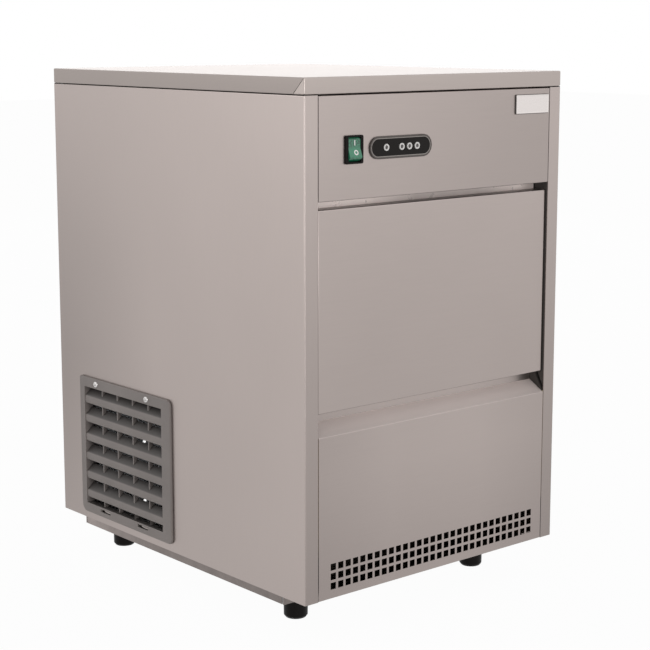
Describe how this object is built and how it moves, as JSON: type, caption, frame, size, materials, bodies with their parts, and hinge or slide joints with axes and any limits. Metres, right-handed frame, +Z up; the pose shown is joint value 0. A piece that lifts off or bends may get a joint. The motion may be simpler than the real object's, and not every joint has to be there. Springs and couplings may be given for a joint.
{
  "type": "ice machine",
  "caption": "Under-counter ice machine: brushed steel cabinet, folded lid, lift-up bin door, rocker switch, oval indicator panel, side air grille, vents and levelling feet.",
  "frame": {"origin": "centre of the footprint of the whole machine's box, on the floor under the four feet", "axes": "+Z up; -Y out of the front, where the bin door is; +X to the right as seen from the front"},
  "size_m": [0.4054, 0.5222, 0.6265],
  "materials": {
    "brushed_steel": "satin brushed stainless sheet",
    "bright_steel": "bright satin sheet",
    "zinc_sheet": "zinc-coated sheet",
    "stainless_rod": "bright drawn stainless rod",
    "black_plastic": "moulded, fine grain",
    "dark_lining": "moulded, satin",
    "grille_plastic": "moulded, satin warm grey",
    "green_lens": "translucent, lit from inside",
    "indicator_gloss": "smooth dark film",
    "lamp_lens": "milky light guide",
    "white_plastic": "food-safe moulding, satin",
    "foam": "rigid foam",
    "copper": "drawn copper",
    "nickel": "nickel plated",
    "aluminium_fins": "thin bare sheet",
    "black_paint": "baked black enamel",
    "valve_brass": "turned",
    "valve_plastic": "moulded",
    "pump_plastic": "moulded",
    "hose_rubber": "extruded"
  },
  "bodies": {
    "cabinet": {"air_grille": "grille_plastic", "base_plate": "zinc_sheet", "bin_insulation": "foam", "bin_liner": "white_plastic", "capillary_tube": "copper", "chamber_roof": "white_plastic", "compressor": "black_paint", "condenser": "aluminium_fins", "control_box": "zinc_sheet", "control_panel": "brushed_steel", "control_tray": "zinc_sheet", "cord_gland": "black_plastic", "discharge_tube": "copper", "drain_spigot": "valve_plastic", "drain_tube": "hose_rubber", "evaporator": "nickel", "evaporator_tube": "copper", "fan_motor": "black_paint", "fan_motor_bracket": "zinc_sheet", "fan_shroud": "black_plastic", "fill_tube": "hose_rubber", "filter_drier": "copper", "flap_bracket": "zinc_sheet", "hot_gas_valve": "valve_brass", "ice_chute": "white_plastic", "indicator_lamps": "lamp_lens", "indicator_panel": "indicator_gloss", "inlet_valve": "valve_plastic", "left_guide_lining": "dark_lining", "left_side_panel": "brushed_steel", "level_switch": "black_plastic", "liquid_tube": "copper", "lower_front_panel": "brushed_steel", "pump_hose": "hose_rubber", "rear_panel": "zinc_sheet", "right_guide_lining": "dark_lining", "right_side_panel": "brushed_steel", "splash_guard": "white_plastic", "suction_tube": "copper", "switch_housing": "black_plastic", "top_cover": "bright_steel", "tray_motor": "black_plastic", "tray_pivot_pin": "stainless_rod", "water_pump": "pump_plastic", "water_trough": "white_plastic"},
    "door_carriage": {"door_lower_rod": "stainless_rod"},
    "door": {"door_skin": "brushed_steel", "door_core": "foam", "door_back": "brushed_steel", "door_upper_pin_left": "stainless_rod", "door_upper_pin_right": "stainless_rod"},
    "rocker": {"switch_rocker": "green_lens"},
    "fan": {"fan_blade": "aluminium_fins", "fan_shaft": "stainless_rod"},
    "tray": {"water_tray": "white_plastic"},
    "flap": {"level_flap": "white_plastic"},
    "front_left_foot": {"foot_front_left": "black_plastic"},
    "front_right_foot": {"foot_front_right": "black_plastic"},
    "rear_left_foot": {"foot_rear_left": "black_plastic"},
    "rear_right_foot": {"foot_rear_right": "black_plastic"}
  },
  "joints": [
    {"name": "door_slide", "type": "slide", "parent": "cabinet", "child": "door_carriage", "axis": [0, 0, 1], "range_m": [0, 0.2]},
    {"name": "door_tilt", "type": "hinge", "parent": "door_carriage", "child": "door", "pos_m": [0.00175, -0.24469, 0.2725], "axis": [-1, 0, 0], "range_deg": [0, 80.3]},
    {"name": "rocker_press", "type": "hinge", "parent": "cabinet", "child": "rocker", "pos_m": [-0.13025, -0.25094, 0.54785], "axis": [1, 0, 0], "range_deg": [0, 20]},
    {"name": "fan_spin", "type": "hinge", "parent": "cabinet", "child": "fan", "pos_m": [-0.14495, 0.10106, 0.1395], "axis": [1, 0, 0], "continuous": true},
    {"name": "tray_tip", "type": "hinge", "parent": "cabinet", "child": "tray", "pos_m": [0.00175, 0.16836, 0.5055], "axis": [1, 0, 0], "range_deg": [0, 60]},
    {"name": "flap_swing", "type": "hinge", "parent": "cabinet", "child": "flap", "pos_m": [-0.17705, 0.00606, 0.4475], "axis": [1, 0, 0], "range_deg": [0, 30]},
    {"name": "front_left_foot_turn", "type": "hinge", "parent": "cabinet", "child": "front_left_foot", "pos_m": [-0.14325, -0.17144, 0.0475], "axis": [0, 0, 1], "continuous": true},
    {"name": "front_right_foot_turn", "type": "hinge", "parent": "cabinet", "child": "front_right_foot", "pos_m": [0.14675, -0.17144, 0.0475], "axis": [0, 0, 1], "continuous": true},
    {"name": "rear_left_foot_turn", "type": "hinge", "parent": "cabinet", "child": "rear_left_foot", "pos_m": [-0.14325, 0.18656, 0.0475], "axis": [0, 0, 1], "continuous": true},
    {"name": "rear_right_foot_turn", "type": "hinge", "parent": "cabinet", "child": "rear_right_foot", "pos_m": [0.14675, 0.18656, 0.0475], "axis": [0, 0, 1], "continuous": true}
  ],
  "couplings": [
    {"joint": "door_tilt", "follows": "door_slide", "rad_per_m": 7}
  ]
}
